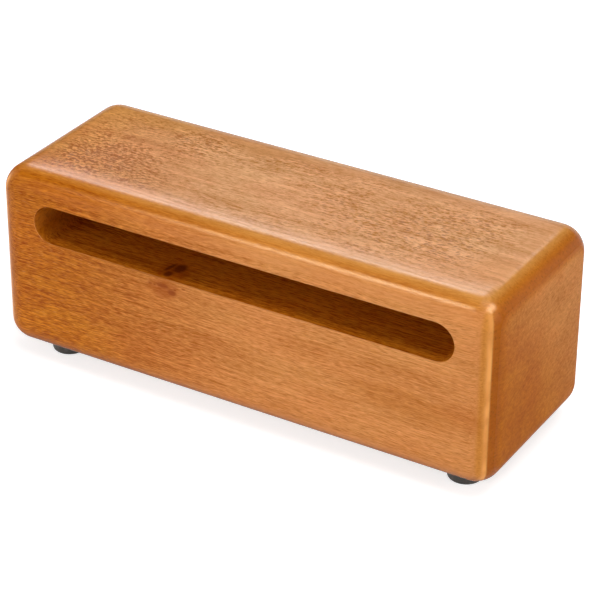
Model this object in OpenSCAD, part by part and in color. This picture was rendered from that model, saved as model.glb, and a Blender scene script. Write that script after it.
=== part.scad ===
// Woodblock: a hardwood block with one long sounding slot, standing on four rubber
// feet that are screwed to its underside.
// The block lies along X and the slot opens towards -Y. The floor is at zero, and the
// origin is on it, under the middle of the block. Sizes are in millimetres.

/* [Block] */
// Length of the block
block_l = 203; // [180:1:260]
// Depth of the block, from the slotted face to the back
block_d = 75; // [60:1:110]
// Height of the block, without its feet
block_h = 72; // [60:1:110]
// Radius routed on every outer edge
edge_r = 9.5; // [5:0.5:10]

/* [Slot] */
// Height of the slot, which is also the diameter of the cutter that makes it
slot_h = 15; // [9:0.5:20]
// Thickness of the wood above the slot, which is the plate that is struck
roof_t = 10.2; // [10.2:0.2:16]
// Wood left behind the slot
back_wall_t = 15; // [10:0.5:25]
// Wood left at the slot's left end
left_wall_t = 17; // [14:0.5:30]
// Wood left at the slot's right end
right_wall_t = 15; // [14:0.5:30]
// Width of the eased edge round the slot's mouth
lip_w = 0.6; // [0.3:0.1:0.6]

/* [Feet] */
// Height of a rubber foot
foot_h = 5; // [4.8:0.1:8]
// Radius of a foot near the floor, where its edge rounding starts
foot_r = 6.5; // [6.2:0.1:9]
// Radius of the rounding round a foot's lower edge
foot_edge_r = 1.3; // [0.6:0.1:1.6]
// Lean of a foot's side, in degrees
foot_draft = 7; // [0:1:12]
// Rubber between a foot's recess and the block
foot_web_t = 1.6; // [1.2:0.1:2]
// Middle of a foot to the end of the block, on the left
foot_inset_left = 19.5; // [15:0.5:30]
// Middle of a foot to the end of the block, on the right
foot_inset_right = 16; // [15:0.5:30]
// Middle of a foot to the front or back of the block
foot_inset_side = 15; // [15:0.5:25]

/* [Screws and washers] */
// Radius of a screw's thread
screw_r = 1.5; // [1.2:0.1:1.6]
// Length of a screw below its head
screw_l = 12; // [9:0.5:16]
// Radius of a screw's head
head_r = 2.8; // [2.6:0.1:3]
// Height of a screw's head
head_h = 2; // [1.6:0.1:2.2]
// Radius of a washer
washer_r = 3.5; // [3.2:0.1:3.8]
// Thickness of a washer
washer_t = 0.5; // [0.4:0.1:0.8]

/* [Hidden] */
$fn = 64;

// Which way each corner lies from the middle of the block
left = -1;
right = 1;
front = -1;
rear = 1;

// How far a cut runs on past the face that it opens
overrun = 1;
// Gap between a screw and the wood, the rubber and the washer round it
screw_gap = 0.1;
// Gap between a washer and the side of its recess
washer_gap = 0.3;
// Hole left beyond a screw's point
tip_room = 0.5;
// Part of a screw head's height that is domed
dome_share = 0.65;
// Length, width and depth of the cross recess, as parts of the head's radius and height
cross_l_share = 1.1;
cross_w_share = 0.24;
cross_depth_share = 0.5;
// Length of a screw's point and radius of its tip, as parts of the thread's radius
tip_l_share = 1.8;
tip_r_share = 0.1;

// Slot
slot_l = block_l - left_wall_t - right_wall_t;
slot_depth = block_d - back_wall_t;
slot_x = (left_wall_t - right_wall_t) / 2;
slot_z = foot_h + block_h - roof_t - slot_h / 2;

// Foot
flat_r = foot_r - foot_edge_r;
side_r = flat_r + foot_edge_r * cos(foot_draft);
side_z = foot_edge_r * (1 - sin(foot_draft));
foot_top_r = side_r + (foot_h - side_z) * tan(foot_draft);
recess_r = washer_r + washer_gap;
recess_h = foot_h - foot_web_t;
hole_r = screw_r + screw_gap;

// Screw
seat_z = recess_h - washer_t;
dome_h = head_h * dome_share;
dome_r = (head_r * head_r + dome_h * dome_h) / (2 * dome_h);
cross_l = head_r * cross_l_share;
cross_w = head_r * cross_w_share;
cross_depth = head_h * cross_depth_share;
tip_l = screw_r * tip_l_share;
tip_r = screw_r * tip_r_share;

// A rectangle with rounded corners, centred
module rounded_outline(w, h, r) {
    square([w - 2 * r, h], center = true);
    square([w, h - 2 * r], center = true);
    for (x = [-1, 1], y = [-1, 1])
        translate([x * (w / 2 - r), y * (h / 2 - r)])
            circle(r = r);
}

// A box with every edge rounded: three crossed slabs and a ball in each corner
module rounded_box(l, d, h, r) {
    linear_extrude(height = h - 2 * r, center = true)
        rounded_outline(l, d, r);
    rotate([90, 0, 0])
        linear_extrude(height = d - 2 * r, center = true)
            rounded_outline(l, h, r);
    rotate([90, 0, 90])
        linear_extrude(height = l - 2 * r, center = true)
            rounded_outline(d, h, r);
    for (x = [-1, 1], y = [-1, 1], z = [-1, 1])
        translate([x * (l / 2 - r), y * (d / 2 - r), z * (h / 2 - r)])
            sphere(r = r);
}

// The slot as a cut: a long hole with round ends, run in from the front face, and the
// eased edge at its mouth
module slot_cut() {
    straight_l = slot_l - slot_h;
    mouth_r = slot_h / 2 + lip_w + overrun;
    translate([slot_x, -block_d / 2, slot_z])
        rotate([-90, 0, 0]) {
            translate([0, 0, -overrun])
                linear_extrude(height = slot_depth + overrun) {
                    square([straight_l, slot_h], center = true);
                    for (x = [-1, 1])
                        translate([x * straight_l / 2, 0])
                            circle(d = slot_h);
                }
            for (x = [-1, 1])
                translate([x * straight_l / 2, 0, -overrun])
                    cylinder(h = lip_w + overrun, r1 = mouth_r, r2 = slot_h / 2);
            rotate([90, 0, 90])
                linear_extrude(height = straight_l, center = true)
                    polygon([
                        [-mouth_r, -overrun], [mouth_r, -overrun],
                        [slot_h / 2, lip_w], [-slot_h / 2, lip_w]
                    ]);
        }
}

// Puts its children at the middle of one foot, at floor level
module at_foot(end, side) {
    inset_end = end == left ? foot_inset_left : foot_inset_right;
    translate([end * (block_l / 2 - inset_end), side * (block_d / 2 - foot_inset_side), 0])
        children();
}

// The hole drilled up into the block for one screw
module screw_hole() {
    translate([0, 0, foot_h - overrun])
        cylinder(h = seat_z + screw_l + tip_room - foot_h + overrun, r = hole_r);
}

module block() {
    color("#b9743a")
        difference() {
            translate([0, 0, foot_h + block_h / 2])
                rounded_box(block_l, block_d, block_h, edge_r);
            slot_cut();
            for (end = [left, right], side = [front, rear])
                at_foot(end, side)
                    screw_hole();
        }
}

// A moulded rubber foot, with a hole for its screw and a recess for the head and washer
module rubber_foot() {
    color("#2c2b2d")
        rotate_extrude()
            difference() {
                union() {
                    polygon([
                        [0, 0], [flat_r, 0], [side_r, side_z],
                        [foot_top_r, foot_h], [0, foot_h]
                    ]);
                    translate([flat_r, foot_edge_r])
                        circle(r = foot_edge_r);
                }
                translate([0, -overrun])
                    square([recess_r, recess_h + overrun]);
                square([hole_r, foot_h + overrun]);
            }
}

// The steel washer that spreads the screw's pull over the rubber
module washer() {
    color("#c9ccd0")
        translate([0, 0, seat_z])
            difference() {
                cylinder(h = washer_t, r = washer_r);
                translate([0, 0, -overrun])
                    cylinder(h = washer_t + 2 * overrun, r = hole_r);
            }
}

// The wood screw, head down: domed head with a cross recess, shank and point
module wood_screw() {
    color("#b4b8bd")
        translate([0, 0, seat_z]) {
            difference() {
                intersection() {
                    translate([0, 0, -head_h])
                        cylinder(h = head_h, r = head_r);
                    translate([0, 0, dome_r - head_h])
                        sphere(r = dome_r);
                }
                for (turn = [0, 90])
                    rotate([0, 0, turn])
                        translate([-cross_l / 2, -cross_w / 2, -head_h - overrun])
                            cube([cross_l, cross_w, cross_depth + overrun]);
            }
            cylinder(h = screw_l - tip_l, r = screw_r);
            translate([0, 0, screw_l - tip_l])
                cylinder(h = tip_l, r1 = screw_r, r2 = tip_r);
        }
}

module foot_front_left() { at_foot(left, front) rubber_foot(); }
module foot_front_right() { at_foot(right, front) rubber_foot(); }
module foot_rear_left() { at_foot(left, rear) rubber_foot(); }
module foot_rear_right() { at_foot(right, rear) rubber_foot(); }

module washer_front_left() { at_foot(left, front) washer(); }
module washer_front_right() { at_foot(right, front) washer(); }
module washer_rear_left() { at_foot(left, rear) washer(); }
module washer_rear_right() { at_foot(right, rear) washer(); }

module screw_front_left() { at_foot(left, front) wood_screw(); }
module screw_front_right() { at_foot(right, front) wood_screw(); }
module screw_rear_left() { at_foot(left, rear) wood_screw(); }
module screw_rear_right() { at_foot(right, rear) wood_screw(); }

block();
foot_front_left();
foot_front_right();
foot_rear_left();
foot_rear_right();
washer_front_left();
washer_front_right();
washer_rear_left();
washer_rear_right();
screw_front_left();
screw_front_right();
screw_rear_left();
screw_rear_right();
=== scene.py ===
# A woodblock: one piece of varnished hardwood with a long sounding slot in its front,
# standing on four rubber feet that are screwed to its underside.
# All sizes are in metres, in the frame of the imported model: X along the block, the slot
# opens towards -Y, and the floor is at zero.
import math

import bmesh
import bpy
from mathutils import Euler, Matrix, Vector


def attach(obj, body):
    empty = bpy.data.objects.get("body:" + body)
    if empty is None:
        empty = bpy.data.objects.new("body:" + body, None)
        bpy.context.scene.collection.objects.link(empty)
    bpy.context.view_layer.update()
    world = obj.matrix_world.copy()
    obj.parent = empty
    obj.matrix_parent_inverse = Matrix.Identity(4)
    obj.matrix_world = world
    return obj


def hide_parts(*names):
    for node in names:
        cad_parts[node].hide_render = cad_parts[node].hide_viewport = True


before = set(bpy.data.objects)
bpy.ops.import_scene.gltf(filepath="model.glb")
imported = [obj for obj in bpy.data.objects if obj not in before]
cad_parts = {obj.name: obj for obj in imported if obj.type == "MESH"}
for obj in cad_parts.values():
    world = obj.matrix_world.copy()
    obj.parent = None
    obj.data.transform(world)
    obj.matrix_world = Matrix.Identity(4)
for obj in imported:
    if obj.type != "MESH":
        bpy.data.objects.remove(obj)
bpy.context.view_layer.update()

# The block.
# One length of close-grained hardwood, sawn, routed and sanded. All its outer edges are
# rounded over, one slot is routed into the front, and the whole is stained and varnished.

BLOCK_LENGTH = 0.203
BLOCK_DEPTH = 0.075
BLOCK_BOTTOM = 0.005
BLOCK_TOP = 0.077
ROUND_OVER = 0.0095
# Sanding has crowned the flat faces by this much near their borders. It is in the shading
# alone, and the mesh keeps flat faces.
CROWN = math.radians(4)
CROWN_REACH = 0.0095

SLOT_MIDDLE_X = 0.001
SLOT_MIDDLE_Z = 0.0593
SLOT_LENGTH = 0.171
SLOT_HEIGHT = 0.015
SLOT_BACK_Y = 0.0225
SLOT_LIP = 0.0004
SLOT_INNER_FILLET = 0.0008

# The right feet sit a little nearer to their end than the left ones do
FOOT_LEFT_X = -0.082
FOOT_RIGHT_X = 0.0855
FOOT_OFF_MIDDLE = 0.0225
FOOT_PLACES = {
    "front_left": (FOOT_LEFT_X, -FOOT_OFF_MIDDLE),
    "front_right": (FOOT_RIGHT_X, -FOOT_OFF_MIDDLE),
    "rear_left": (FOOT_LEFT_X, FOOT_OFF_MIDDLE),
    "rear_right": (FOOT_RIGHT_X, FOOT_OFF_MIDDLE),
}
SCREW_HOLE_RADIUS = 0.0016
SCREW_HOLE_TOP = 0.0154
SCREW_HOLE_POINT = 0.0009
# Half the side of the square of the underside in which each hole is drilled
HOLE_SQUARE = 0.004

# How finely the mesh is laid out
CORNER_STEPS = 10
SIDE_STEPS = 8
ROUND_STEPS = 12
FILLET_STEPS = 4
SLOT_STEPS = 6
HOLE_STEPS = 24
FACET_LENGTH = 0.009
MIDDLE_CUTS = (-0.0093, 0.0, 0.0093)
# How near two points lie that are one, and how near to its level the underside's faces lie
SAME_PLACE = 1e-7
SAME_LEVEL = 1e-5


def finished_piece(name, bm, finish, stands_for, creases=None):
    """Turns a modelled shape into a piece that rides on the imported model's body. It is
    smooth but for its creases, which are sharper than an angle in degrees."""
    bm.normal_update()
    mesh = bpy.data.meshes.new(name)
    bm.to_mesh(mesh)
    bm.free()
    mesh.materials.append(finish)
    mesh.shade_smooth()
    if creases is not None:
        mesh.set_sharp_from_angle(angle=math.radians(creases))
    piece = bpy.data.objects.new(name, mesh)
    bpy.context.scene.collection.objects.link(piece)
    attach(piece, "root")
    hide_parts(stands_for)
    return piece


def circle(bm, x, y, z, radius, steps):
    points = []
    for i in range(steps):
        a = 2 * math.pi * i / steps
        points.append(bm.verts.new((x + radius * math.cos(a), y + radius * math.sin(a), z)))
    return points


def join_rings(bm, rings):
    """Joins each ring of points to the next one with a band of faces."""
    for a, b in zip(rings, rings[1:]):
        for i in range(len(a)):
            bm.faces.new((a[i - 1], a[i], b[i], b[i - 1]))


def quarter_turn(steps):
    return [math.pi / 2 * i / steps for i in range(steps + 1)]


def stations_round_block():
    """Places round the block's outline, seen from the front: for each, the side it is on
    and its share of the way along, or its quarter turns round the corners. They start at
    the top's left end."""
    core_x = BLOCK_LENGTH / 2 - ROUND_OVER
    cuts = [-core_x, core_x]
    for x, _ in FOOT_PLACES.values():
        cuts += [x - HOLE_SQUARE, x + HOLE_SQUARE]
    cuts = sorted(set(round(x, 6) for x in cuts))
    along = []
    for a, b in zip(cuts, cuts[1:]):
        facets = max(1, round((b - a) / FACET_LENGTH))
        along += [a + (b - a) * i / facets for i in range(facets)]
    along.append(cuts[-1])
    shares = [(x + core_x) / (2 * core_x) for x in along]
    down = [i / SIDE_STEPS for i in range(SIDE_STEPS + 1)]
    back = [1 - share for share in reversed(shares)]
    turn = [i / CORNER_STEPS for i in range(1, CORNER_STEPS)]
    stations = []
    for corner, (side, run) in enumerate([
        ("top", shares), ("right", down), ("bottom", back), ("left", down),
    ]):
        stations += [(side, share) for share in run]
        stations += [("corner", corner + share) for share in turn]
    return stations


def crown(offset, core):
    """How far a flat face leans near its border, since sanding has crowned it there."""
    lean = CROWN * max(0.0, (abs(offset) - core + CROWN_REACH) / CROWN_REACH)
    return math.copysign(lean, offset)


def outline_point(station):
    """The core point of a station on the block's outer outline, the way out from there,
    and the way that the surface faces."""
    kind, share = station
    core_x = BLOCK_LENGTH / 2 - ROUND_OVER
    low = BLOCK_BOTTOM + ROUND_OVER
    high = BLOCK_TOP - ROUND_OVER
    if kind == "corner":
        corner = int(share)
        core = [(core_x, high), (core_x, low), (-core_x, low), (-core_x, high)][corner]
        angle = share * math.pi / 2
        lean = (share - corner) * (math.pi / 2 - 2 * CROWN) + CROWN + corner * math.pi / 2
    else:
        side = ["top", "right", "bottom", "left"].index(kind)
        half = [core_x, (high - low) / 2][side % 2]
        offset = half * (2 * share - 1)
        middle_z = (high + low) / 2
        core = [
            (offset, high),
            (core_x, middle_z - offset),
            (-offset, low),
            (-core_x, middle_z + offset),
        ][side]
        angle = side * math.pi / 2
        lean = angle + crown(offset, half)
    return core, (math.sin(angle), math.cos(angle)), (math.sin(lean), math.cos(lean))


def slot_point(station, end, turn):
    """The same for the slot's outline: its straight top and bottom, and its half-round
    ends, of which 1 is the right one and -1 the left one."""
    kind, share = station
    reach = (SLOT_LENGTH - SLOT_HEIGHT) / 2
    if kind in ("top", "bottom"):
        way = 1 if kind == "top" else -1
        core = (SLOT_MIDDLE_X + way * reach * (2 * share - 1), SLOT_MIDDLE_Z)
        facing = (0, way)
    else:
        core = (SLOT_MIDDLE_X + end * reach, SLOT_MIDDLE_Z)
        facing = (end * math.sin(turn), end * math.cos(turn))
    return core, facing, facing


def block_shape():
    """The block as rings of points, from the slot's back wall out through its mouth, over
    the block's sides and round to its rear face, with the true facing of every point."""
    stations = stations_round_block()
    kinds = [kind for kind, _ in stations]
    last_top = kinds.count("top") - 1
    first_bottom = kinds.index("bottom")
    last_bottom = first_bottom + kinds.count("bottom") - 1
    outer = [outline_point(station) for station in stations]
    inner = []
    for i, station in enumerate(stations):
        if i > last_bottom:
            turn = math.pi * (i - last_bottom) / (len(stations) - last_bottom)
            inner.append(slot_point(station, -1, turn))
        else:
            turn = math.pi * (i - last_top) / (first_bottom - last_top)
            inner.append(slot_point(station, 1, turn))

    front = -BLOCK_DEPTH / 2
    rear = BLOCK_DEPTH / 2
    radius = SLOT_HEIGHT / 2
    rings = []

    def ring(points, offset, y, across, forward):
        rings.append([
            (
                Vector((core[0] + out[0] * offset, y, core[1] + out[1] * offset)),
                Vector((facing[0] * across, forward, facing[1] * across)),
            )
            for core, out, facing in points
        ])

    ring(inner, 0, SLOT_BACK_Y, 0, -1)
    for a in quarter_turn(FILLET_STEPS):
        offset = radius - SLOT_INNER_FILLET * (1 - math.sin(a))
        y = SLOT_BACK_Y - SLOT_INNER_FILLET * (1 - math.cos(a))
        ring(inner, offset, y, -math.sin(a), -math.cos(a))
    start = SLOT_BACK_Y - SLOT_INNER_FILLET
    end = front + SLOT_LIP
    for i in range(1, SLOT_STEPS):
        ring(inner, radius, start + (end - start) * i / SLOT_STEPS, -1, 0)
    for a in quarter_turn(FILLET_STEPS):
        offset = radius + SLOT_LIP * (1 - math.cos(a))
        y = front + SLOT_LIP * (1 - math.sin(a))
        ring(inner, offset, y, -math.cos(a), -math.sin(a))
    lean_share = 1 - CROWN / (math.pi / 2)
    for a in quarter_turn(ROUND_STEPS):
        y = front + ROUND_OVER * (1 - math.cos(a))
        lean = a * lean_share
        ring(outer, ROUND_OVER * math.sin(a), y, math.sin(lean), -math.cos(lean))
    side_cuts = [*MIDDLE_CUTS]
    for y in (-FOOT_OFF_MIDDLE, FOOT_OFF_MIDDLE):
        side_cuts += [y - HOLE_SQUARE, y + HOLE_SQUARE]
    for y in sorted(side_cuts):
        lean = crown(y, rear - ROUND_OVER)
        ring(outer, ROUND_OVER, y, math.cos(lean), math.sin(lean))
    for a in reversed(quarter_turn(ROUND_STEPS)):
        y = rear - ROUND_OVER * (1 - math.cos(a))
        lean = a * lean_share
        ring(outer, ROUND_OVER * math.sin(a), y, math.sin(lean), math.cos(lean))
    core_x = BLOCK_LENGTH / 2 - ROUND_OVER
    middle_z = (BLOCK_BOTTOM + BLOCK_TOP) / 2
    seam = core_x - (BLOCK_TOP - middle_z - ROUND_OVER)
    closing = [((core[0] * seam / core_x, middle_z), (0, 0), (0, 0)) for core, _, _ in outer]
    ring(closing, 0, rear, 0, 1)
    return rings


def drill_screw_hole(bm, facing, x, y):
    """Cuts the square of the underside round a foot's middle and sinks a hole in it."""
    middle = Vector((x, y, BLOCK_BOTTOM))
    below = [f for f in bm.faces if abs(f.calc_center_median().z - BLOCK_BOTTOM) < SAME_LEVEL]
    square = min(below, key=lambda f: (f.calc_center_median() - middle).length)
    rim = list(square.edges)
    bmesh.ops.delete(bm, geom=[square], context="FACES_ONLY")
    mouth = circle(bm, x, y, BLOCK_BOTTOM, SCREW_HOLE_RADIUS, HOLE_STEPS)
    end = circle(bm, x, y, SCREW_HOLE_TOP, SCREW_HOLE_RADIUS, HOLE_STEPS)
    downwards = Vector((0, 0, -1))
    for v in mouth + end:
        v[facing] = downwards
    rim += [bm.edges.new((mouth[i], mouth[i - 1])) for i in range(HOLE_STEPS)]
    bmesh.ops.triangle_fill(
        bm, use_beauty=True, use_dissolve=False, edges=rim, normal=downwards)
    point = bm.verts.new((x, y, SCREW_HOLE_TOP + SCREW_HOLE_POINT))
    walls = []
    for i in range(HOLE_STEPS):
        walls.append(bm.faces.new((mouth[i - 1], mouth[i], end[i], end[i - 1])))
        walls.append(bm.faces.new((end[i - 1], end[i], point)))
    return walls


def build_block(finish):
    bm = bmesh.new()
    facing = bm.verts.layers.float_vector.new("facing")
    rings = []
    for points in block_shape():
        ring = []
        for place, direction in points:
            v = bm.verts.new(place)
            v[facing] = direction
            ring.append(v)
        rings.append(ring)
    join_rings(bm, rings)
    bmesh.ops.remove_doubles(bm, verts=bm.verts, dist=SAME_PLACE)
    bmesh.ops.dissolve_degenerate(bm, edges=bm.edges, dist=SAME_PLACE)
    holes = set()
    for x, y in FOOT_PLACES.values():
        holes.update(drill_screw_hole(bm, facing, x, y))
    bmesh.ops.recalc_face_normals(bm, faces=bm.faces)
    bm.normal_update()
    facings = []
    for face in bm.faces:
        for loop in face.loops:
            direction = face.normal if face in holes else loop.vert[facing]
            facings.append(Vector(direction).normalized())
    block = finished_piece("block_of_wood", bm, finish, "block")
    block.data.normals_split_custom_set(facings)


def fit(tree, kind, inputs, **settings):
    """Adds one node to a finish, sets it, fills or joins its inputs, gives its outputs."""
    part = tree.nodes.new("ShaderNode" + kind)
    for name, value in settings.items():
        setattr(part, name, value)
    for name, value in inputs.items():
        socket = part.inputs[name]
        if isinstance(value, bpy.types.NodeSocket):
            tree.links.new(value, socket)
        else:
            socket.default_value = value
    return part.outputs


def maths(tree, operation, *values, clamp=False):
    return fit(tree, "Math", dict(enumerate(values)), operation=operation, use_clamp=clamp)[0]


def product(tree, first, *others):
    for other in others:
        first = maths(tree, "MULTIPLY", first, other)
    return first


def greatest(tree, first, *others):
    for other in others:
        first = maths(tree, "MAXIMUM", first, other)
    return first


def opposite(tree, mask):
    return maths(tree, "SUBTRACT", 1.0, mask)


def scaled(tree, value, share, added):
    """A value times a share, plus what is added."""
    return maths(tree, "MULTIPLY_ADD", value, share, added)


def less(tree, value, share, where):
    """Weakens a value by a share of itself where a mask covers it."""
    return product(tree, value, scaled(tree, where, -share, 1.0))


def swing(tree, pattern, reach):
    """Centres a pattern on zero and sets how far it swings from end to end."""
    return scaled(tree, pattern, reach, -reach / 2)


def spread(tree, value, low, high, to_low=0.0, to_high=1.0):
    """Eases a value from one range to another, and holds it at both ends."""
    inputs = {0: value, 1: low, 2: high, 3: to_low, 4: to_high}
    return fit(tree, "MapRange", inputs, interpolation_type="SMOOTHSTEP")[0]


def blend(tree, share, first, second):
    return fit(tree, "Mix", {0: share, 2: first, 3: second}, data_type="FLOAT")[0]


def blend_colours(tree, share, first, second, how="MIX"):
    inputs = {0: share, 6: first, 7: second}
    return fit(tree, "Mix", inputs, data_type="RGBA", blend_type=how)[2]


def tinted(tree, colour, where, tint):
    """Multiplies a colour by a tint where a mask covers it."""
    return blend_colours(tree, where, colour, tint, "MULTIPLY")


def marked(tree, colour, where, mark, strength=1.0):
    """Lays the colour of a mark over another where a mask covers it."""
    return blend_colours(tree, product(tree, where, strength), colour, mark)


def stretched(tree, place, sizes, shift=(0, 0, 0)):
    """Coordinates in which a pattern's marks get these lengths along X, Y and Z."""
    scale = tuple(1 / s for s in sizes)
    inputs = {"Vector": place, "Location": shift, "Scale": scale}
    return fit(tree, "Mapping", inputs)[0]


def cloudy(tree, place, detail=2.0, roughness=0.5, fineness=1.0):
    inputs = {"Vector": place, "Scale": fineness, "Detail": detail, "Roughness": roughness}
    return fit(tree, "TexNoise", inputs)[0]


def spots(tree, place, low, high):
    """Small round marks, one in each cell, as strong as 1 in the middle."""
    inputs = {"Vector": place, "Scale": 1.0, "Randomness": 1.0}
    return spread(tree, fit(tree, "TexVoronoi", inputs)["Distance"], high, low)


# How far out a patch has faded, and how far out it is whole, as shares of its reach
PATCH_FADED = 1.45
PATCH_WHOLE = 0.55


def patch(tree, place, middle, reach, turn):
    """A soft round patch of the surface: 1 round its middle, a half at its reach along X,
    Y and Z, and 0 well beyond it. It is turned about the vertical, in degrees."""
    inputs = {
        "Vector": place,
        "Location": middle,
        "Rotation": (0, 0, math.radians(turn)),
        "Scale": reach,
    }
    inside = fit(tree, "Mapping", inputs, vector_type="TEXTURE")[0]
    distance = fit(tree, "VectorMath", {0: inside}, operation="LENGTH")["Value"]
    return spread(tree, distance, PATCH_FADED, PATCH_WHOLE)


def patches(tree, place, places):
    return greatest(tree, 0.0, *[patch(tree, place, *spot) for spot in places])


def new_finish(name):
    finish = bpy.data.materials.new(name)
    finish.use_nodes = True
    tree = finish.node_tree
    return finish, tree, tree.nodes["Principled BSDF"]


# The wood's finish is laid out in millimetres. Each patch has its middle, its reach along
# X, Y and Z, and its turn in degrees. The top has patches where the pores crowd together,
# and patches that are smooth.
MILLIMETRES = 1000.0
CROWDED_PORES = [
    ((-70, -15, 77), (27, 10, 8), -4),
    ((-47, 20, 77), (12, 13, 8), 0),
    ((31, -3, 77), (27, 5, 8), -38),
    ((62, 2, 77), (26, 22, 8), -10),
]
SMOOTH_WOOD = [
    ((-14, -6, 77), (27, 20, 8), 0),
    ((88, -4, 77), (10, 24, 8), 0),
]
# Paler patches, of thinner stain and painted sheen, and darker ones, of more stain and painted
# shade
PALER_STAIN_AND_SHEEN = [
    ((-90, 8, 77), (15, 22, 8), 0),
    ((-78, 27, 77), (24, 7, 8), 0),
    ((-76, -37.5, 17), (24, 8, 9), 0),
]
DARKER_STAIN_AND_SHADE = [
    ((-68, -20, 77), (27, 11, 8), 0),
    ((-26, 27, 77), (20, 7, 8), 0),
    ((88, -12, 77), (8, 9, 8), 0),
    ((72, -37.5, 32), (24, 8, 5), 0),
    ((101.5, -20, 22), (8, 8, 10), 0),
]
# A small knot that the slot has cut open: its dark spots on the slot's floor, the marks
# that it leaves below on the front, and the stain round both
KNOT_SPOTS = [
    ((-27.9, -27.9, 51.8), (2.3, 3.0, 2.5), 0),
    ((-29.4, -33.5, 51.8), (1.5, 1.8, 2.5), 0),
    ((-31.4, -28.9, 51.8), (0.9, 3.2, 1.5), -12),
]
KNOT_MARKS = [
    ((-29.2, -37.5, 49.0), (2.6, 1.5, 0.8), 0),
    ((-25.3, -37.5, 47.2), (1.7, 1.5, 1.1), 0),
    ((-32.6, -37.5, 48.6), (0.6, 0.8, 0.3), 0),
    ((-34.4, -37.5, 48.7), (0.9, 0.8, 0.3), 0),
    ((-24.0, -37.5, 48.7), (0.6, 0.8, 0.3), 0),
    ((-20.4, -37.5, 50.0), (0.8, 0.8, 0.3), 0),
]
KNOT_STAIN = [
    ((-28.6, -36.0, 48.2), (7.0, 5.0, 3.0), 0),
    ((-28.5, -31.0, 51.8), (6.0, 7.0, 2.0), 0),
]
# The slot's middle, and how far it reaches from there along X, Y and Z
SLOT_INSIDE = ((1, -7, 59.3), (86, 30, 8))
# The heart of the tree ran along the block, this far behind its middle and under the floor
HEART_BEHIND = 20.0
HEART_BELOW = 60.0
RINGS_PER_MILLIMETRE = 0.45

# Where the border of the top begins and where it is full, from the block's middle
BORDER_ALONG = (85.0, 93.0)
BORDER_ACROSS = (21.5, 28.5)
# The wood gets paler from the first of these places along X to the second, and on the top this
# much further left. On the ends it gets paler from the first of these sums of Y and Z to the
# second, which is a painted reflection.
PALER_ALONG = (-82.0, 24.0)
PALER_SOONER_ON_TOP = 30.0
PAINTED_SHEEN_UP_THE_ENDS = (10.0, 95.0)

# The waves and ripples of the grain, and the raggedness of the patches: how long they are
# along X, Y and Z, and how far they swing
GRAIN_WAVE = (70, 30, 30)
GRAIN_WAVE_REACH = 6.0
GRAIN_RIPPLE = (18, 8, 8)
GRAIN_RIPPLE_REACH = 0.55
RAGGEDNESS = (7, 3, 3)
RAGGEDNESS_REACH = 9.0

# How long each kind of mark in the wood is along X, Y and Z
FIBRE = (3.4, 0.43, 0.41)
STREAK = (45, 0.9, 0.9)
STRAND = (34, 2.2, 2.2)
DASH = (1.75, 0.93, 0.9)
LONG_DASH = (5.5, 0.8, 0.75)
SPECK = (1, 1.6, 0.9)
TOP_PORE = (3.2, 1.4, 1.3)
TOP_PORE_LIP = (2.6, 1.3, 1.2)
SIDE_PORE = (5.0, 0.65, 0.6)
SIDE_SHEEN = (4.0, 0.65, 0.6)
END_PORE = (1.3, 1.3, 1.3)
CROWD = (30, 12, 12)
TONE_ZONE = (60, 18, 12)
HUE_ZONE = (40, 18, 14)
# The breaks in the painted highlight down the upright edges
HIGHLIGHT_UNEVENNESS = (6, 6, 11)
# How much some of them lighten and darken the wood
FIBRE_CONTRAST = 2.9
STREAK_CONTRAST = 1.1
DASH_CONTRAST = 4.0
LONG_DASH_CONTRAST = 2.7
TOP_FIBRE_CONTRAST = 1.0
SPECK_CONTRAST = 1.0
STRAND_CONTRAST = 0.7
RING_CONTRAST = 0.6
TONE_ZONE_CONTRAST = 0.6

# The stained wood from its darkest to its lightest fibres, where it is deep in colour and
# where it is pale
SIDES_DEEP = ((0.29, 0.052, 0.0, 1), (0.63, 0.20, 0.012, 1))
SIDES_PALE = ((0.40, 0.105, 0.008, 1), (0.84, 0.37, 0.125, 1))
TOP_DEEP = ((0.33, 0.068, 0.0, 1), (0.83, 0.34, 0.08, 1))
TOP_PALE = ((0.44, 0.145, 0.006, 1), (0.93, 0.49, 0.24, 1))
# The painted highlight down the upright edges
EDGE_HIGHLIGHT_COLOUR = (0.93, 0.41, 0.105, 1)
# What those colours are multiplied by in places
REDDER_WOOD = (1.01, 0.97, 0.92, 1)
YELLOWER_WOOD = (0.99, 1.015, 0.97, 1)
# Painted shade: the deep golden band on the round-overs, where the varnish mirrors no light
GOLDEN_BAND_SHADE = (1.0, 0.99, 0.6, 1)
# Painted shade on the round-overs beside the ends
SHADE_BY_END = (0.92, 0.84, 0.6, 1)
# Painted shade on what faces down
UNDERSIDE_SHADE = (0.66, 0.58, 0.5, 1)
# Paler stain and painted sheen, and darker stain and painted shade
PALER_STAIN_AND_SHEEN_TINT = (1.12, 1.22, 1.15, 1)
DARKER_STAIN_AND_SHADE_TINT = (0.92, 0.85, 0.70, 1)
# The pores, the painted highlights on their lips and the painted sheen beside them, and the
# knot
DARK_TOP_PORE = (0.33, 0.09, 0.0, 1)
PORE_LIP_HIGHLIGHT = (0.80, 0.35, 0.10, 1)
DARK_SIDE_PORE = (0.25, 0.045, 0.0, 1)
PALE_SIDE_SHEEN = (0.74, 0.30, 0.065, 1)
DARK_END_PORE = (0.25, 0.07, 0.0, 1)
STAIN_OF_KNOT = (0.34, 0.06, 0.002, 1)
MARK_OF_KNOT = (0.23, 0.035, 0.001, 1)
DARK_KNOT = (0.10, 0.012, 0.001, 1)

VARNISH_ROUGHNESS = 0.21
END_GRAIN_ROUGHNESS = 0.70
VARNISH_SHINE = 0.12
# In metres, unlike the rest of this finish
PORE_DEPTH = 0.00012
PORE_SHADING = 0.3


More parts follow.
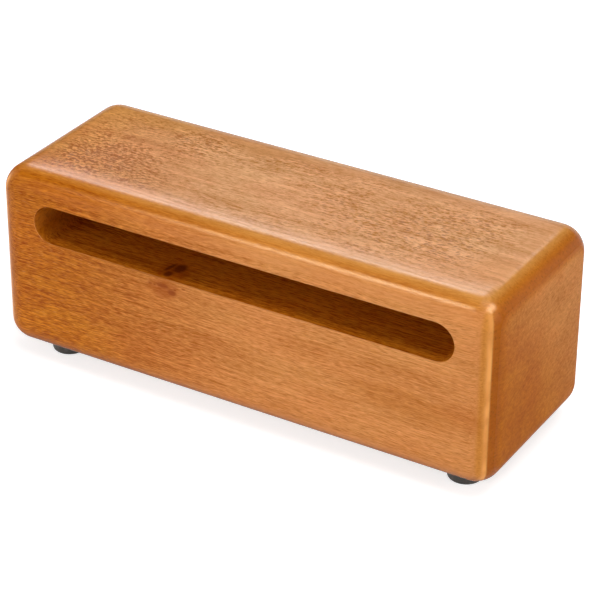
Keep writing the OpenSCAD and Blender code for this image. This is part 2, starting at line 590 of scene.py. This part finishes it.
def inside_slot(tree, place):
    """1 on the walls of the slot, and 0 on the outside of the block."""
    middle, reach = SLOT_INSIDE
    inputs = {"Vector": place, "Location": middle, "Scale": reach}
    offset = fit(tree, "Mapping", inputs, vector_type="TEXTURE")[0]
    offset = fit(tree, "VectorMath", {0: offset}, operation="ABSOLUTE")[0]
    furthest = greatest(tree, *fit(tree, "SeparateXYZ", {0: offset}))
    return spread(tree, furthest, 1.01, 0.99)


def wandering_grain(tree, place):
    """The grain runs along X and wanders a little to the sides."""
    wave = swing(tree, cloudy(tree, stretched(tree, place, GRAIN_WAVE)), GRAIN_WAVE_REACH)
    ripple = cloudy(tree, stretched(tree, place, GRAIN_RIPPLE, (7, 3, 1)), 1)
    shift = maths(tree, "ADD", wave, swing(tree, ripple, GRAIN_RIPPLE_REACH))
    shift = fit(tree, "CombineXYZ", {0: 0.0, 1: shift, 2: shift})[0]
    return fit(tree, "VectorMath", {0: place, 1: shift}, operation="ADD")[0]


def growth_rings(tree, grain):
    _, across, up = fit(tree, "SeparateXYZ", {0: grain})
    back = maths(tree, "SUBTRACT", across, HEART_BEHIND)
    height = maths(tree, "ADD", up, HEART_BELOW)
    age = maths(tree, "SQRT", scaled(tree, back, back, product(tree, height, height)))
    inputs = {"W": product(tree, age, RINGS_PER_MILLIMETRE), "Detail": 3.0}
    return fit(tree, "TexNoise", inputs, noise_dimensions="1D")[0]


def varnished_wood():
    finish, tree, shader = new_finish("varnished_wood")
    coordinates = fit(tree, "TexCoord", {})
    inputs = {0: coordinates["Object"], 3: MILLIMETRES}
    place = fit(tree, "VectorMath", inputs, operation="SCALE")[0]
    along, across, up = fit(tree, "SeparateXYZ", {0: place})
    grain = wandering_grain(tree, place)
    # Patches that are laid out in these coordinates get ragged outlines
    ragged = cloudy(tree, stretched(tree, place, RAGGEDNESS, (5, 5, 5)), 3)
    ragged = swing(tree, ragged, RAGGEDNESS_REACH)
    ragged = fit(tree, "VectorMath", {0: place, 1: ragged}, operation="ADD")[0]

    # How far the surface faces the ends, the front or rear, and the top or bottom, as
    # cosines, and the masks of the block's faces that follow from them
    _, _, upwards = fit(tree, "SeparateXYZ", {0: coordinates["Normal"]})
    facing = fit(tree, "VectorMath", {0: coordinates["Normal"]}, operation="ABSOLUTE")[0]
    to_end, to_front, to_top = fit(tree, "SeparateXYZ", {0: facing})
    flat = spread(tree, to_top, 0.80, 0.98)
    end_grain = spread(tree, to_end, 0.30, 0.80)
    end_face = spread(tree, to_end, 0.85, 0.995)
    hollow = inside_slot(tree, place)
    outside = opposite(tree, hollow)
    open_top = product(tree, flat, outside)
    # Painted shade where the surface faces down
    shade_underneath = product(tree, spread(tree, upwards, -0.30, -0.70), outside)

    # The rounded edges, with a painted highlight down the upright ones, a painted golden band
    # and painted shade beside the ends, and the border of the top
    squarely = greatest(tree, to_end, to_front, to_top)
    routed = product(tree, spread(tree, squarely, 0.995, 0.93), outside)
    off_middle = maths(tree, "SUBTRACT", to_front, to_end)
    painted_edge_highlight = product(
        tree, spread(tree, off_middle, 0.55, 0.08), spread(tree, off_middle, -0.12, 0.03),
        spread(tree, to_top, 0.85, 0.50))
    # Painted shade on the round-overs beside the ends
    shade_by_the_end = product(
        tree, spread(tree, to_end, 0.62, 0.76), spread(tree, to_end, 0.995, 0.88))
    # Painted shade: the deep golden band on the round-overs, where the varnish mirrors no
    # light
    golden_band_shade = greatest(tree, spread(tree, to_end, 0.30, 0.50), spread(tree, to_top, 0.62, 0.76))
    golden_band_shade = product(tree, golden_band_shade, routed, spread(tree, to_end, 0.74, 0.60))
    border = greatest(
        tree, spread(tree, maths(tree, "ABSOLUTE", along), *BORDER_ALONG),
        spread(tree, maths(tree, "ABSOLUTE", across), *BORDER_ACROSS))

    # The wood is deeper in colour at the left end and in the slot than on the right. Up the
    # ends it is paler towards the top and rear, a painted reflection.
    paleness = spread(tree, scaled(tree, flat, PALER_SOONER_ON_TOP, along), *PALER_ALONG)
    on_ends = spread(tree, maths(tree, "ADD", across, up), *PAINTED_SHEEN_UP_THE_ENDS)
    on_ends = product(tree, on_ends, end_face)
    paleness = product(tree, blend(tree, end_grain, paleness, on_ends), outside)
    # The painted shade beside the ends and the painted golden band near the top deepen the
    # colour
    paleness = less(tree, paleness, 0.5, shade_by_the_end)
    near_top = product(tree, golden_band_shade, spread(tree, to_top, 0.3, 0.6))
    paleness = less(tree, paleness, 0.35, near_top)

    # Where the pores crowd together on the top
    crowd = cloudy(tree, stretched(tree, place, CROWD, (11, 2, 6)))
    crowd = product(tree, spread(tree, crowd, 0.42, 0.62), 0.7)
    crowd = greatest(tree, crowd, patches(tree, ragged, CROWDED_PORES))
    crowd = less(tree, crowd, 0.8, patches(tree, ragged, SMOOTH_WOOD))
    crowd = less(tree, crowd, 0.6, border)

    # Straight fibres on the sides, and specks on the end grain. The flat-sawn top has short
    # dashes, which get longer, on an evener ground, where the wood is pale.
    fibres = cloudy(tree, stretched(tree, grain, FIBRE), 2.0, 0.6)
    streaks = cloudy(tree, stretched(tree, grain, STREAK, (6, 1, 4)), 1)
    dashes = cloudy(tree, stretched(tree, grain, DASH), 3, 0.65)
    long_dashes = cloudy(tree, stretched(tree, grain, LONG_DASH, (3, 6, 2)), 3, 0.65)
    specks = cloudy(tree, stretched(tree, place, SPECK), 2, 0.65)
    on_sides = swing(tree, fibres, FIBRE_CONTRAST)
    on_sides = maths(tree, "ADD", on_sides, swing(tree, streaks, STREAK_CONTRAST))
    on_sides = less(tree, on_sides, 0.6, paleness)
    on_top = less(tree, swing(tree, dashes, DASH_CONTRAST), 0.15, paleness)
    on_top = scaled(tree, swing(tree, long_dashes, LONG_DASH_CONTRAST), paleness, on_top)
    on_top = product(
        tree, on_top, scaled(tree, crowd, 0.7, 0.4), scaled(tree, paleness, -0.6, 1.5))
    on_top = maths(tree, "MINIMUM", on_top, less(tree, on_top, 0.5, paleness))
    on_top = maths(tree, "ADD", on_top, swing(tree, fibres, TOP_FIBRE_CONTRAST))
    on_top = less(tree, on_top, 0.6, border)
    on_ends = swing(tree, specks, SPECK_CONTRAST)
    on_ends = product(tree, on_ends, maths(tree, "ADD", hollow, 1.0))
    tone = blend(tree, open_top, on_sides, on_top)
    tone = blend(tree, end_grain, tone, on_ends)

    # Broader strands, rings and zones, which show less on the straight-grained sides
    strands = cloudy(tree, stretched(tree, grain, STRAND, (2, 5, 8)), 2, 0.6)
    zones = cloudy(tree, stretched(tree, place, TONE_ZONE, (3, 9, 4)))
    rings = swing(tree, growth_rings(tree, grain), RING_CONTRAST)
    broad = maths(tree, "ADD", swing(tree, strands, STRAND_CONTRAST), rings)
    broad = product(tree, broad, scaled(tree, flat, 0.5, 0.5))
    broad = maths(tree, "ADD", broad, swing(tree, zones, TONE_ZONE_CONTRAST))
    tone = less(tree, maths(tree, "ADD", tone, broad), 0.4, routed)

    # Crowded pores darken the top. The slot's walls get painted light, most on their curved
    # ends, which evens out their shade
    deepening = scaled(tree, paleness, 0.15, -0.20)
    tone = scaled(tree, product(tree, crowd, open_top), deepening, tone)
    tone = scaled(tree, hollow, 0.10, tone)
    tone = scaled(tree, product(tree, hollow, end_grain), 0.25, tone)
    tone = maths(tree, "ADD", tone, 0.5, clamp=True)

    # The colour of the stained wood at every tone
    deep = blend_colours(tree, tone, *SIDES_DEEP)
    pale = blend_colours(tree, tone, *SIDES_PALE)
    on_sides = blend_colours(tree, paleness, deep, pale)
    deep = blend_colours(tree, tone, *TOP_DEEP)
    pale = blend_colours(tree, tone, *TOP_PALE)
    on_top = blend_colours(tree, paleness, deep, pale)
    colour = blend_colours(tree, open_top, on_sides, on_top)

    # Some of the wood is redder and some is more yellow
    hue = spread(tree, cloudy(tree, stretched(tree, grain, HUE_ZONE, (1, 6, 2))), 0.35, 0.65)
    hue = blend_colours(tree, hue, REDDER_WOOD, YELLOWER_WOOD)
    # Painted: a deep golden band on the round-overs, shade beside the ends, and shade on what
    # faces down
    hue = marked(tree, hue, golden_band_shade, GOLDEN_BAND_SHADE)
    hue = marked(tree, hue, shade_by_the_end, SHADE_BY_END)
    hue = marked(tree, hue, shade_underneath, UNDERSIDE_SHADE)
    colour = tinted(tree, colour, 1.0, hue)
    # Patches of paler stain and painted sheen, and of darker stain and painted shade
    colour = tinted(tree, colour, patches(tree, ragged, PALER_STAIN_AND_SHEEN), PALER_STAIN_AND_SHEEN_TINT)
    colour = tinted(tree, colour, patches(tree, ragged, DARKER_STAIN_AND_SHADE), DARKER_STAIN_AND_SHADE_TINT)

    # Open pores: short dark ones on the top with painted highlights on their lips, fine lines
    # with a painted sheen beside them on the sides, and pits in the end grain
    sides = opposite(tree, greatest(tree, flat, end_grain, routed, hollow))
    pore = spots(tree, stretched(tree, grain, TOP_PORE), 0.20, 0.38)
    pore = product(tree, pore, crowd, open_top)
    lip_highlight = spots(tree, stretched(tree, grain, TOP_PORE_LIP, (4, 0.3, 0.6)), 0.16, 0.34)
    lip_highlight = product(tree, lip_highlight, crowd, open_top)
    line = spots(tree, stretched(tree, grain, SIDE_PORE, (3, 1, 7)), 0.12, 0.36)
    line = product(tree, line, sides)
    sheen = spots(tree, stretched(tree, grain, SIDE_SHEEN, (9, 4, 2)), 0.10, 0.34)
    sheen = product(tree, sheen, sides)
    pits = spots(tree, stretched(tree, place, END_PORE, (7, 7, 2)), 0.14, 0.34)
    pits = product(tree, pits, end_grain, outside, scaled(tree, routed, 0.45, 0.15))
    colour = marked(tree, colour, lip_highlight, PORE_LIP_HIGHLIGHT, strength=0.4)
    colour = marked(tree, colour, pore, DARK_TOP_PORE, strength=0.7)
    colour = marked(tree, colour, sheen, PALE_SIDE_SHEEN, strength=0.4)
    colour = marked(tree, colour, line, DARK_SIDE_PORE, strength=0.34)
    colour = marked(tree, colour, pits, DARK_END_PORE)

    # A painted highlight, a little uneven, runs along the middle of the upright edges
    highlight_unevenness = cloudy(tree, stretched(tree, place, HIGHLIGHT_UNEVENNESS, (2, 8, 3)), 2)
    highlight_unevenness = spread(tree, highlight_unevenness, 0.35, 0.6, 0.6, 1.0)
    colour = marked(tree, colour, product(tree, painted_edge_highlight, painted_edge_highlight, highlight_unevenness), EDGE_HIGHLIGHT_COLOUR)

    # The knot
    stain = patches(tree, ragged, KNOT_STAIN)
    colour = marked(tree, colour, stain, STAIN_OF_KNOT, strength=0.5)
    marks = patches(tree, place, KNOT_MARKS)
    colour = marked(tree, colour, marks, MARK_OF_KNOT, strength=0.68)
    knot = patches(tree, place, KNOT_SPOTS)
    colour = marked(tree, colour, knot, DARK_KNOT, strength=0.8)

    # The varnish lies smooth but for fibres and pores, and sinks into the duller end grain
    height = scaled(tree, pore, -0.6, blend(tree, flat, fibres, dashes))
    height = scaled(tree, line, -0.3, height)
    inputs = {"Height": height, "Distance": PORE_DEPTH, "Strength": PORE_SHADING}
    tree.links.new(fit(tree, "Bump", inputs)[0], shader.inputs["Normal"])
    roughness = blend(tree, end_face, VARNISH_ROUGHNESS, END_GRAIN_ROUGHNESS)
    tree.links.new(roughness, shader.inputs["Roughness"])
    tree.links.new(colour, shader.inputs["Base Color"])
    shader.inputs["Specular IOR Level"].default_value = VARNISH_SHINE
    return finish


build_block(varnished_wood())

# The rubber feet.
# Four small feet under the corners, moulded in black rubber. Each has a recess in its
# underside, where a washer and a screw hold it to the wood.

FOOT_HEIGHT = BLOCK_BOTTOM
FOOT_FLAT_RADIUS = 0.0052
FOOT_EDGE_RADIUS = 0.0013
FOOT_TOP_RADIUS = 0.00696
RECESS_RADIUS = 0.0038
RECESS_HEIGHT = 0.0034
FOOT_EASE = 0.00025

# In degrees
FOOT_DRAFT = 7
RUBBER_CREASES = 40
# How finely the mesh is laid out
TURN_STEPS = 64
FOOT_EASE_STEPS = 4
FOOT_EDGE_STEPS = 8

BLACK_RUBBER = (0.060, 0.057, 0.051, 1)
DUSTY_RUBBER = (0.125, 0.118, 0.106, 1)
RUBBER_SKIN_FINENESS = 2600.0
RUBBER_SKIN_DEPTH = 0.00003
RUBBER_SKIN_SHADING = 0.5
RUBBER_ROUGHNESS = (0.38, 0.52)
DUST_FINENESS = 420.0


def arc(middle_r, middle_z, radius, start, stop, steps):
    """Points of a rounded edge in a turned outline; angles in degrees."""
    points = []
    for i in range(steps + 1):
        a = math.radians(start + (stop - start) * i / steps)
        points.append((middle_r + radius * math.cos(a), middle_z + radius * math.sin(a)))
    return points


def turned(outline, x, y):
    """Turns a closed outline of (radius, height) points round an upright axis."""
    bm = bmesh.new()
    rings = [circle(bm, x, y, z, radius, TURN_STEPS) for radius, z in outline]
    join_rings(bm, rings + rings[:1])
    bmesh.ops.recalc_face_normals(bm, faces=bm.faces)
    return bm


def foot_outline():
    ease = FOOT_EASE
    edge = FOOT_EDGE_RADIUS
    draft = FOOT_DRAFT
    steps = FOOT_EASE_STEPS
    points = [(SCREW_HOLE_RADIUS, FOOT_HEIGHT)]
    points += arc(FOOT_TOP_RADIUS - ease, FOOT_HEIGHT - ease, ease, 90, -draft, steps)
    points += arc(FOOT_FLAT_RADIUS, edge, edge, -draft, -90, FOOT_EDGE_STEPS)
    points += arc(RECESS_RADIUS + ease, ease, ease, -90, -180, steps)
    points += arc(RECESS_RADIUS - ease, RECESS_HEIGHT - ease, ease, 0, 90, steps)
    points.append((SCREW_HOLE_RADIUS, RECESS_HEIGHT))
    return points


def moulded_rubber():
    finish, tree, shader = new_finish("moulded_rubber")
    place = fit(tree, "TexCoord", {})["Object"]
    skin = cloudy(tree, place, 3.0, fineness=RUBBER_SKIN_FINENESS)
    dust = cloudy(tree, place, 4.0, fineness=DUST_FINENESS)
    colour = blend_colours(tree, spread(tree, dust, 0.5, 0.75), BLACK_RUBBER, DUSTY_RUBBER)
    inputs = {"Height": skin, "Distance": RUBBER_SKIN_DEPTH, "Strength": RUBBER_SKIN_SHADING}
    tree.links.new(fit(tree, "Bump", inputs)[0], shader.inputs["Normal"])
    roughness = spread(tree, skin, 0.3, 0.7, *RUBBER_ROUGHNESS)
    tree.links.new(roughness, shader.inputs["Roughness"])
    tree.links.new(colour, shader.inputs["Base Color"])
    return finish


rubber = moulded_rubber()
for corner, (x, y) in FOOT_PLACES.items():
    finished_piece(
        "rubber_foot_" + corner, turned(foot_outline(), x, y), rubber,
        "foot_" + corner, creases=RUBBER_CREASES)

# The washers.
# A flat washer, stamped from steel sheet and zinc-plated, lies in each foot's recess. It
# spreads the pull of the screw over the rubber.

WASHER_RADIUS = 0.0035
WASHER_TOP = RECESS_HEIGHT
WASHER_THICKNESS = 0.0005
WASHER_EASE = 0.00008

WASHER_EASE_STEPS = 3
WASHER_CREASES = 50

DARK_ZINC = (0.50, 0.51, 0.52, 1)
LIGHT_ZINC = (0.66, 0.67, 0.68, 1)
ZINC_MOTTLE_FINENESS = 900.0
ZINC_ROUGHNESS = (0.26, 0.42)


def washer_outline():
    ease = WASHER_EASE
    steps = WASHER_EASE_STEPS
    inner = SCREW_HOLE_RADIUS + ease
    outer = WASHER_RADIUS - ease
    low = WASHER_TOP - WASHER_THICKNESS + ease
    high = WASHER_TOP - ease
    points = arc(outer, high, ease, 90, 0, steps)
    points += arc(outer, low, ease, 0, -90, steps)
    points += arc(inner, low, ease, -90, -180, steps)
    points += arc(inner, high, ease, 180, 90, steps)
    return points


def zinc_plate():
    finish, tree, shader = new_finish("zinc_plated_steel")
    place = fit(tree, "TexCoord", {})["Object"]
    mottle = cloudy(tree, place, 3.0, fineness=ZINC_MOTTLE_FINENESS)
    colour = blend_colours(tree, mottle, DARK_ZINC, LIGHT_ZINC)
    roughness = spread(tree, mottle, 0.3, 0.7, *ZINC_ROUGHNESS)
    tree.links.new(roughness, shader.inputs["Roughness"])
    tree.links.new(colour, shader.inputs["Base Color"])
    shader.inputs["Metallic"].default_value = 1.0
    return finish


zinc = zinc_plate()
for corner, (x, y) in FOOT_PLACES.items():
    finished_piece(
        "washer_" + corner, turned(washer_outline(), x, y), zinc,
        "washer_" + corner, creases=WASHER_CREASES)

# The screws.
# Zinc-plated steel wood screws with a domed head, a cross recess and a rolled thread. Each
# is driven up through a washer and a foot into the block.

SCREW_RADIUS = 0.0015
SCREW_CORE_RADIUS = 0.00105
SCREW_SEAT = WASHER_TOP - WASHER_THICKNESS
SCREW_LENGTH = 0.012
SCREW_POINT = 0.0027
THREAD_PITCH = 0.0011
THREAD_RUN_IN = 0.0008
# How high the thread stands in each row of points of one turn, as a share
THREAD_ROWS = (0.0, 0.0, 0.5, 1.0, 0.5, 0.0)

HEAD_RADIUS = 0.0028
HEAD_HEIGHT = 0.002
HEAD_DOME = 0.0013
HEAD_RIM = 0.0001
# The dome stops at this share of the head's radius, and an eased rim joins it to the side
DOME_SHARE = 0.985
CROSS_LENGTH = 0.00308
CROSS_WIDTH = 0.00067
CROSS_DEPTH = 0.001
# The cross recess from level to level: how deep each lies in the head, and its shares of
# the whole length and width. The first lies outside the head, so that the cut is clean.
CROSS_LEVELS = (
    (-0.0004, 1.0, 1.0),
    (0.3 * CROSS_DEPTH, 0.95, 1.0),
    (0.8 * CROSS_DEPTH, 0.6, 0.85),
    (CROSS_DEPTH, 0.35, 0.6),
)

SCREW_STEPS = 40
DOME_STEPS = 10
SCREW_CREASES = 35


def shank_radius(z, ridge):
    """The radius of the screw's shank at a height, on a thread ridge of 0 to 1."""
    top = SCREW_SEAT + SCREW_LENGTH
    taper = min(1.0, (top - z) / SCREW_POINT)
    run_in = min(1.0, (z - SCREW_SEAT) / THREAD_RUN_IN)
    depth = (SCREW_RADIUS - SCREW_CORE_RADIUS) * run_in * ridge
    return (SCREW_CORE_RADIUS + depth) * taper


def screw_shape(x, y):
    """A domed head, and a shank whose rows of points climb with the thread."""
    bm = bmesh.new()
    places = {}

    def point(radius, z, i):
        a = 2 * math.pi * i / SCREW_STEPS
        place = (x + radius * math.cos(a), y + radius * math.sin(a), z)
        key = tuple(round(c, 8) for c in place)
        if key not in places:
            places[key] = bm.verts.new(place)
        return places[key]

    def skin(rows):
        for low, high in zip(rows, rows[1:]):
            for i in range(SCREW_STEPS):
                corners = []
                for v in (low[i], low[i + 1], high[i + 1], high[i]):
                    if v not in corners:
                        corners.append(v)
                if len(corners) > 2:
                    bm.faces.new(corners)

    dome_radius = (HEAD_RADIUS ** 2 + HEAD_DOME ** 2) / (2 * HEAD_DOME)
    low = SCREW_SEAT - HEAD_HEIGHT
    outline = []
    for i in range(DOME_STEPS + 1):
        radius = HEAD_RADIUS * i / DOME_STEPS * DOME_SHARE
        outline.append((radius, low + dome_radius - math.sqrt(dome_radius ** 2 - radius ** 2)))
    outline.append((HEAD_RADIUS, low + HEAD_DOME + HEAD_RIM))
    outline.append((HEAD_RADIUS, SCREW_SEAT))
    outline.append((SCREW_CORE_RADIUS, SCREW_SEAT))
    round_screw = [i % SCREW_STEPS for i in range(SCREW_STEPS + 1)]
    skin([[point(radius, z, i) for i in round_screw] for radius, z in outline])

    top = SCREW_SEAT + SCREW_LENGTH
    per_turn = len(THREAD_ROWS)
    rows = []
    for k in range(per_turn * (math.ceil(SCREW_LENGTH / THREAD_PITCH) + 2)):
        row = []
        for i in range(SCREW_STEPS + 1):
            z = SCREW_SEAT + THREAD_PITCH * (k / per_turn + i / SCREW_STEPS - 1)
            z = min(max(z, SCREW_SEAT), top)
            row.append(point(shank_radius(z, THREAD_ROWS[k % per_turn]), z, i % SCREW_STEPS))
        rows.append(row)
    skin(rows)
    bmesh.ops.recalc_face_normals(bm, faces=bm.faces)
    return bm


def cross_shape(x, y):
    """The hollow for a cross-head driver, which gets narrower inside."""
    bm = bmesh.new()
    rings = []
    for depth, reach_share, width_share in CROSS_LEVELS:
        z = SCREW_SEAT - HEAD_HEIGHT + depth
        reach = CROSS_LENGTH / 2 * reach_share
        half = CROSS_WIDTH / 2 * width_share
        ring = []
        for c, s in ((1, 0), (0, 1), (-1, 0), (0, -1)):
            for u, v in ((reach, -half), (reach, half), (half, half)):
                ring.append(bm.verts.new((x + u * c - v * s, y + u * s + v * c, z)))
        rings.append(ring)
    join_rings(bm, rings)
    bm.faces.new(rings[0])
    bm.faces.new(rings[-1])
    bmesh.ops.recalc_face_normals(bm, faces=bm.faces)
    return bm


def cut_out(piece, bm):
    """Cuts a closed shape out of a piece."""
    mesh = bpy.data.meshes.new("cutter")
    bm.to_mesh(mesh)
    bm.free()
    cutter = bpy.data.objects.new("cutter", mesh)
    bpy.context.scene.collection.objects.link(cutter)
    cut = piece.modifiers.new("cut", "BOOLEAN")
    cut.operation = "DIFFERENCE"
    cut.solver = "EXACT"
    cut.object = cutter
    graph = bpy.context.evaluated_depsgraph_get()
    result = bpy.data.meshes.new_from_object(piece.evaluated_get(graph))
    piece.modifiers.clear()
    piece.data = result
    bpy.data.objects.remove(cutter)


for corner, (x, y) in FOOT_PLACES.items():
    screw = finished_piece(
        "screw_" + corner, screw_shape(x, y), zinc, "screw_" + corner)
    cut_out(screw, cross_shape(x, y))
    screw.data.set_sharp_from_angle(angle=math.radians(SCREW_CREASES))

# The table and the light.
# The block stands on a plain white table in soft studio light. The lamps stand off from it
# on all sides, and some of them only give the varnish its gleams.

TABLE_REACH = 6.0
# How white the table is as it is seen, and as it throws light back on to the block
TABLE_SEEN = (0.7, 0.7, 0.7, 1)
TABLE_THROWN = (0.9, 0.9, 0.9, 1)
# How much it glows, as it is seen and in the varnish
TABLE_GLOW_SEEN = 0.7
TABLE_GLOW_MIRRORED = 0.25

floor_mesh = bpy.data.meshes.new("table_top")
floor_shape = bmesh.new()
bmesh.ops.create_grid(floor_shape, x_segments=1, y_segments=1, size=TABLE_REACH)
floor_shape.to_mesh(floor_mesh)
floor_shape.free()
table = bpy.data.objects.new("table_top", floor_mesh)
bpy.context.scene.collection.objects.link(table)
paper = bpy.data.materials.new("white_table")
paper.use_nodes = True
tree = paper.node_tree
tree.nodes.clear()
rays = fit(tree, "LightPath", {})
seen = greatest(tree, rays["Is Camera Ray"], rays["Is Transmission Ray"])
seen = product(tree, seen, TABLE_GLOW_SEEN)
seen = scaled(tree, rays["Is Glossy Ray"], TABLE_GLOW_MIRRORED, seen)
shade = blend_colours(tree, rays["Is Diffuse Ray"], TABLE_SEEN, TABLE_THROWN)
matt = fit(tree, "BsdfDiffuse", {"Color": shade})[0]
glow = fit(tree, "Emission", {"Color": (1, 1, 1, 1), "Strength": seen})[0]
both = fit(tree, "AddShader", {0: matt, 1: glow})[0]
fit(tree, "OutputMaterial", {"Surface": both})
floor_mesh.materials.append(paper)

# Dark stretches of the studio, which the varnish mirrors as deep bands: for each, the way
# to its middle, and the cosines of how far off it begins and is darkest
DARK_STRETCHES = (
    ((-0.445, -0.10, 0.88), 0.87, 0.93),
    ((0.18, 0.80, 0.57), 0.90, 0.95),
    ((-0.75, 0.58, 0.32), 0.88, 0.96),
)
DARKEST = 0.12
FILL_LIGHT = 0.30

world = bpy.data.worlds.new("studio")
bpy.context.scene.world = world
world.use_nodes = True
tree = world.node_tree
tree.nodes.clear()
rays = fit(tree, "LightPath", {})
seen = greatest(
    tree, rays["Is Camera Ray"], rays["Is Glossy Ray"], rays["Is Transmission Ray"])
direction = fit(tree, "TexCoord", {})["Generated"]
dim = 1.0
for towards, edge, middle in DARK_STRETCHES:
    inputs = {0: direction, 1: towards}
    nearness = fit(tree, "VectorMath", inputs, operation="DOT_PRODUCT")["Value"]
    dim = product(tree, dim, spread(tree, nearness, edge, middle, 1.0, DARKEST))
backdrop = fit(tree, "Background", {"Color": (1, 1, 1, 1), "Strength": dim})[0]
fill = fit(tree, "Background", {"Color": (1, 1, 1, 1), "Strength": FILL_LIGHT})[0]
sky = fit(tree, "MixShader", {0: seen, 1: fill, 2: backdrop})[0]
fit(tree, "OutputWorld", {"Surface": sky})

LAMP_DISTANCE = 1.8
LAMP_AIM = Vector((0, 0, 0.06))
WHITE = (1, 1, 1)
WARM = (1.0, 0.78, 0.50)
COOL = (0.55, 0.72, 1.0)


def softbox(name, towards, wide, tall, brightness, colour=WHITE, lights=True, shines=True):
    """A soft rectangular lamp that stands off in one direction and faces the block, with
    its width along the block, or across it beside an end. It lights the block, or shines
    in the varnish, or does both."""
    lamp = bpy.data.lights.new(name, "AREA")
    lamp.shape = "RECTANGLE"
    lamp.size = wide
    lamp.size_y = tall
    lamp.energy = brightness * math.pi * wide * tall
    lamp.color = colour
    back = Vector(towards).normalized()
    along = Vector((1, 0, 0)) if abs(back.x) < 0.9 else Vector((0, 1, 0))
    up = back.cross(along).normalized()
    along = up.cross(back)
    stand = bpy.data.objects.new(name, lamp)
    bpy.context.scene.collection.objects.link(stand)
    turned_to_block = Matrix((along, up, back)).transposed().to_4x4()
    stand.matrix_world = Matrix.Translation(back * LAMP_DISTANCE + LAMP_AIM) @ turned_to_block
    stand.visible_camera = False
    stand.visible_diffuse = lights
    stand.visible_glossy = shines


softbox("softbox_above", (0.25, -0.05, 0.97), 1.2, 1.2, 4.0)
softbox("softbox_front_left", (-0.445, -0.84, 0.25), 0.9, 0.8, 5.5, shines=False)
softbox("softbox_right", (0.93, -0.15, 0.33), 1.2, 0.9, 1.6)
softbox("gleam_behind_left", (-0.44, 0.565, 0.698), 0.95, 0.54, 10.5, lights=False)
softbox("gleam_behind", (-0.065, 0.804, 0.592), 0.3, 0.16, 8, lights=False)
softbox("gleam_low_behind", (-0.445, 0.68, 0.585), 0.95, 0.14, 3.8, COOL, lights=False)
softbox("gleam_front_left", (-0.365, -0.535, 0.762), 0.40, 0.15, 125, WARM, lights=False)
softbox("gleam_corner", (0.57, -0.07, 0.82), 0.6, 1.2, 45, WARM, lights=False)

# The camera.
# It stands off to the right of the front and looks down on the front, the top and the
# right end through a long lens, as the photograph does.

CAMERA_PLACE = (0.4012009, -0.6685634, 0.4768940)
FURTHEST_SEEN = 20
# In degrees, about X, Y and Z
CAMERA_TURN = (60.49160, -0.30533, 30.95604)
# In millimetres, as cameras have them
SENSOR_WIDTH = 36
LENS = 150.85

camera_data = bpy.data.cameras.new("camera")
camera_data.sensor_width = SENSOR_WIDTH
camera_data.lens = LENS
camera_data.clip_end = FURTHEST_SEEN
camera = bpy.data.objects.new("camera", camera_data)
bpy.context.scene.collection.objects.link(camera)
turn = Euler([math.radians(angle) for angle in CAMERA_TURN])
camera.matrix_world = Matrix.LocRotScale(Vector(CAMERA_PLACE), turn, None)
bpy.context.scene.camera = camera
bpy.context.scene.view_settings.view_transform = "Standard"
